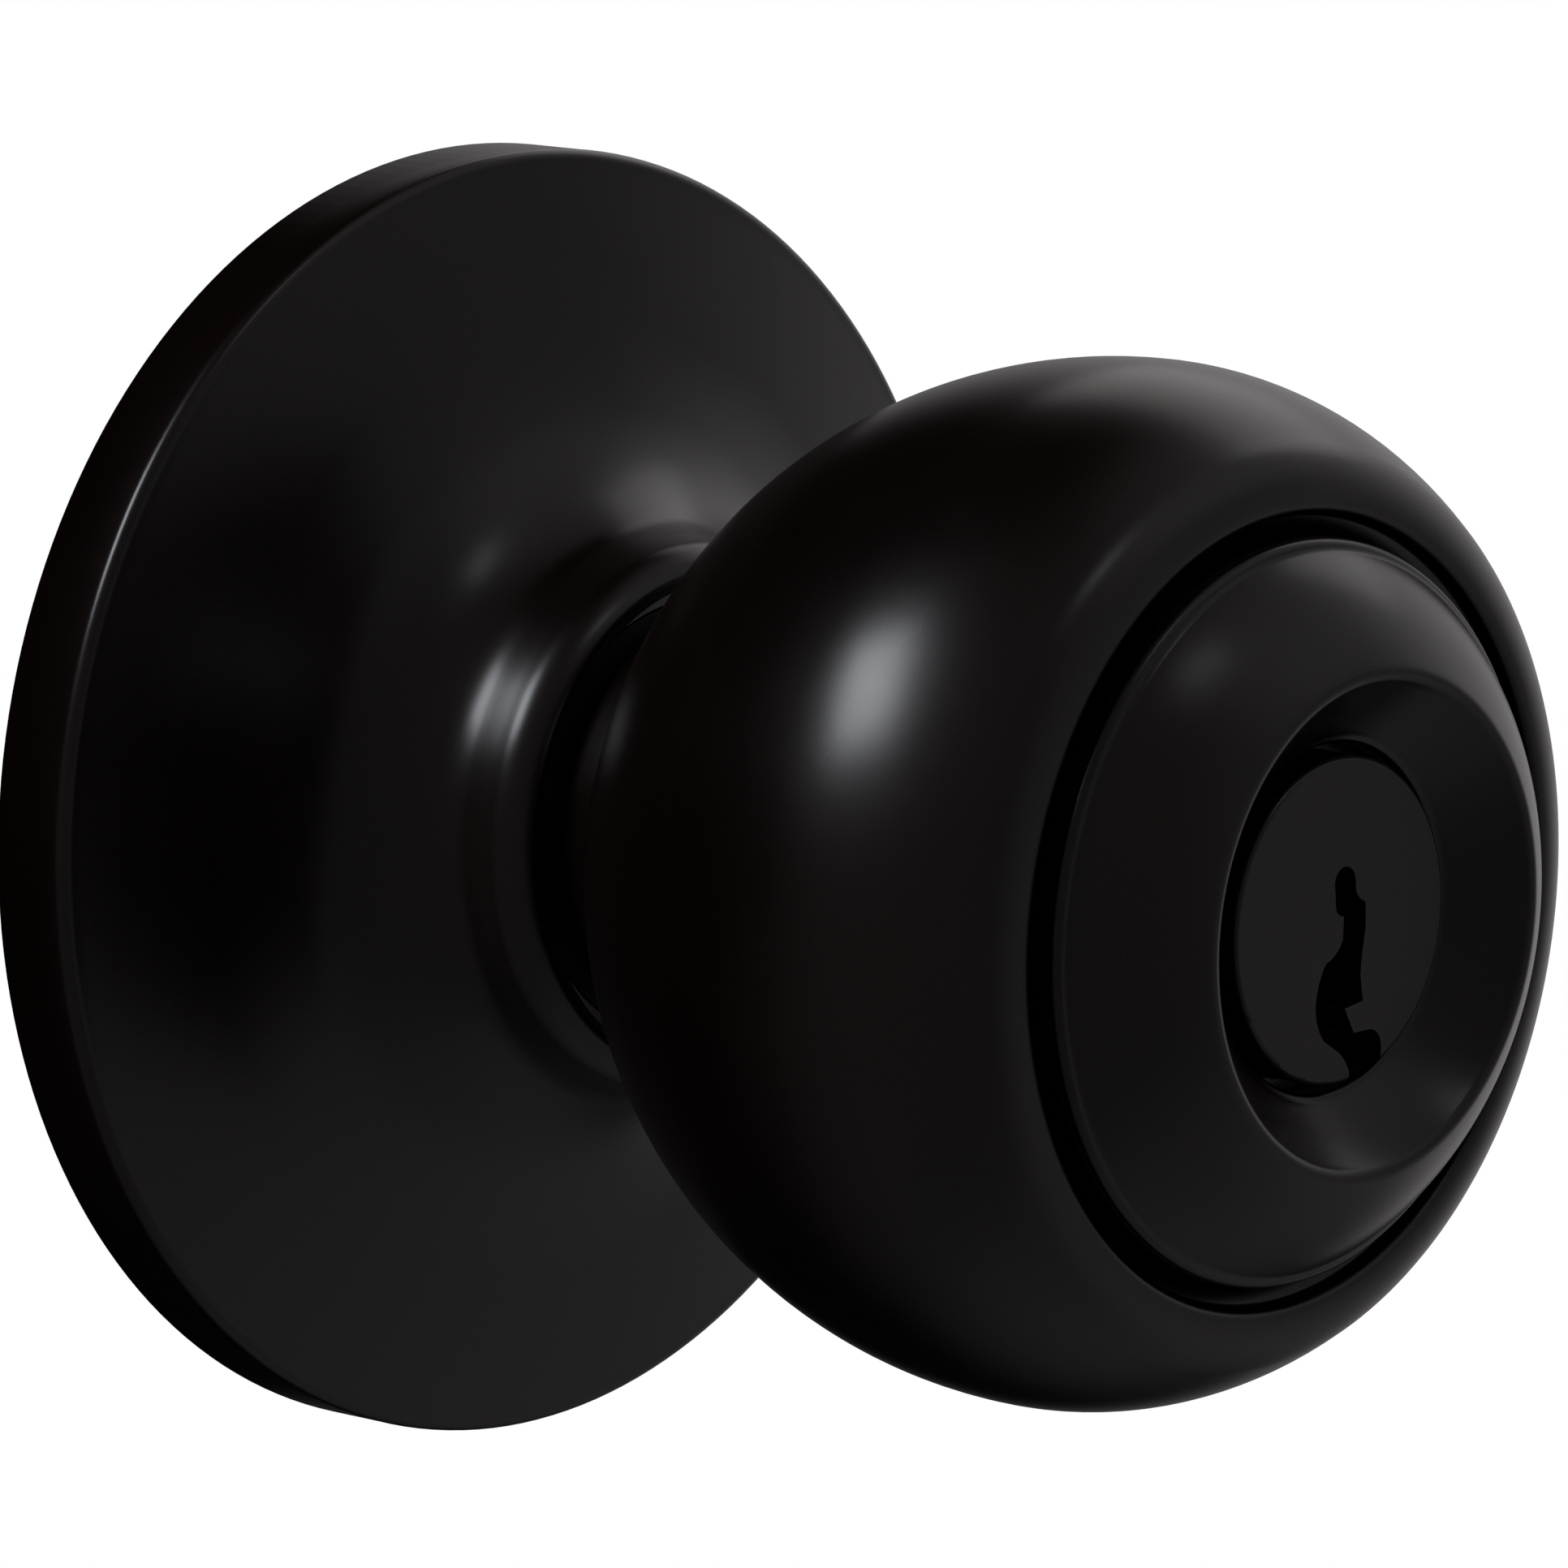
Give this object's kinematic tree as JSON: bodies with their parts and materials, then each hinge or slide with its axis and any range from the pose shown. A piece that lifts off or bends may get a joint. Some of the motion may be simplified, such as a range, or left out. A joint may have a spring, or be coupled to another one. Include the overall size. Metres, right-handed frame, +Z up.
{
  "type": "keyed door knob",
  "caption": "Ball door knob on a round rose, with a key cylinder in its face, mounting posts, a hollow spindle and the spring latch it works.",
  "frame": {"origin": "centre of the rose's back face, on the door's outside face", "axes": "+Y into the door along the knob's axis, +Z up, +X towards the door's edge and the latch bolt"},
  "size_m": [0.1032, 0.0923, 0.066],
  "materials": {
    "black_finish": "satin black",
    "zinc_plate": "satin zinc plate",
    "spring_steel": "bright spring wire",
    "brass": "machined",
    "black_plated": "satin black plate",
    "bearing_plastic": "plain acetal",
    "cast_hub": "sintered"
  },
  "bodies": {
    "door_side": {"rose": "black_finish", "liner_plate": "zinc_plate", "mounting_posts": "zinc_plate", "spring_cage": "zinc_plate", "return_spring": "spring_steel", "shank_bush": "bearing_plastic", "latch_case": "zinc_plate", "latch_tube": "zinc_plate", "latch_collar": "black_plated", "spring_stop": "zinc_plate", "bolt_spring": "spring_steel"},
    "knob": {"knob_shell": "black_finish", "knob_shank": "black_finish", "face_insert": "black_finish", "thrust_washer": "zinc_plate", "cam_plate": "zinc_plate", "retaining_ring": "zinc_plate", "spindle_carrier": "zinc_plate", "spindle": "zinc_plate", "cylinder_spacer": "zinc_plate", "cylinder_housing": "brass", "chamber_cover": "brass", "driver_spring_1": "spring_steel", "driver_spring_2": "spring_steel", "driver_spring_3": "spring_steel", "driver_spring_4": "spring_steel", "driver_spring_5": "spring_steel"},
    "plug": {"plug": "black_finish", "plug_clip": "zinc_plate", "tailpiece": "zinc_plate"},
    "hub": {"latch_hub": "cast_hub"},
    "bolt": {"drawbar": "zinc_plate", "latch_bolt": "black_plated", "bolt_pin": "zinc_plate"},
    "driver_1": {"driver_pin_1": "brass"},
    "key_pin_1": {"key_pin_1": "brass"},
    "driver_2": {"driver_pin_2": "brass"},
    "key_pin_2": {"key_pin_2": "brass"},
    "driver_3": {"driver_pin_3": "brass"},
    "key_pin_3": {"key_pin_3": "brass"},
    "driver_4": {"driver_pin_4": "brass"},
    "key_pin_4": {"key_pin_4": "brass"},
    "driver_5": {"driver_pin_5": "brass"},
    "key_pin_5": {"key_pin_5": "brass"}
  },
  "joints": [
    {"name": "knob_turn", "type": "hinge", "parent": "door_side", "child": "knob", "pos_m": [0, 0, 0], "axis": [0, -1, 0], "range_deg": [0, 80], "stiffness_Nm_per_rad": 0.35, "springref_deg": -20.05, "deforming": ["return_spring"]},
    {"name": "plug_turn", "type": "hinge", "parent": "knob", "child": "plug", "pos_m": [0, -0.04, 0], "axis": [0, -1, 0], "range_deg": [-90, 90]},
    {"name": "hub_turn", "type": "hinge", "parent": "door_side", "child": "hub", "pos_m": [0, 0.0175, 0], "axis": [0, -1, 0], "range_deg": [0, 80]},
    {"name": "bolt_slide", "type": "slide", "parent": "door_side", "child": "bolt", "axis": [-1, 0, 0], "range_m": [0, 0.0102], "stiffness_N_per_m": 50, "springref_m": -0.012, "deforming": ["bolt_spring"]},
    {"name": "driver_1_lift", "type": "slide", "parent": "knob", "child": "driver_1", "axis": [0, 0, 1], "range_m": [0, 0.0018], "stiffness_N_per_m": 100, "springref_m": -0.002, "deforming": ["driver_spring_1"]},
    {"name": "key_pin_1_lift", "type": "slide", "parent": "plug", "child": "key_pin_1", "axis": [0, 0, 1], "range_m": [0, 0.0011]},
    {"name": "driver_2_lift", "type": "slide", "parent": "knob", "child": "driver_2", "axis": [0, 0, 1], "range_m": [0, 0.0018], "stiffness_N_per_m": 100, "springref_m": -0.002, "deforming": ["driver_spring_2"]},
    {"name": "key_pin_2_lift", "type": "slide", "parent": "plug", "child": "key_pin_2", "axis": [0, 0, 1], "range_m": [0, 0.0021]},
    {"name": "driver_3_lift", "type": "slide", "parent": "knob", "child": "driver_3", "axis": [0, 0, 1], "range_m": [0, 0.0018], "stiffness_N_per_m": 100, "springref_m": -0.002, "deforming": ["driver_spring_3"]},
    {"name": "key_pin_3_lift", "type": "slide", "parent": "plug", "child": "key_pin_3", "axis": [0, 0, 1], "range_m": [0, 0.0006]},
    {"name": "driver_4_lift", "type": "slide", "parent": "knob", "child": "driver_4", "axis": [0, 0, 1], "range_m": [0, 0.0018], "stiffness_N_per_m": 100, "springref_m": -0.002, "deforming": ["driver_spring_4"]},
    {"name": "key_pin_4_lift", "type": "slide", "parent": "plug", "child": "key_pin_4", "axis": [0, 0, 1], "range_m": [0, 0.0016]},
    {"name": "driver_5_lift", "type": "slide", "parent": "knob", "child": "driver_5", "axis": [0, 0, 1], "range_m": [0, 0.0018], "stiffness_N_per_m": 100, "springref_m": -0.002, "deforming": ["driver_spring_5"]},
    {"name": "key_pin_5_lift", "type": "slide", "parent": "plug", "child": "key_pin_5", "axis": [0, 0, 1], "range_m": [0, 0.0014]}
  ],
  "couplings": [
    {"joint": "hub_turn", "follows": "knob_turn", "ratio": 1},
    {"joint": "bolt_slide", "follows": "knob_turn", "m_per_rad": 0.0073}
  ]
}
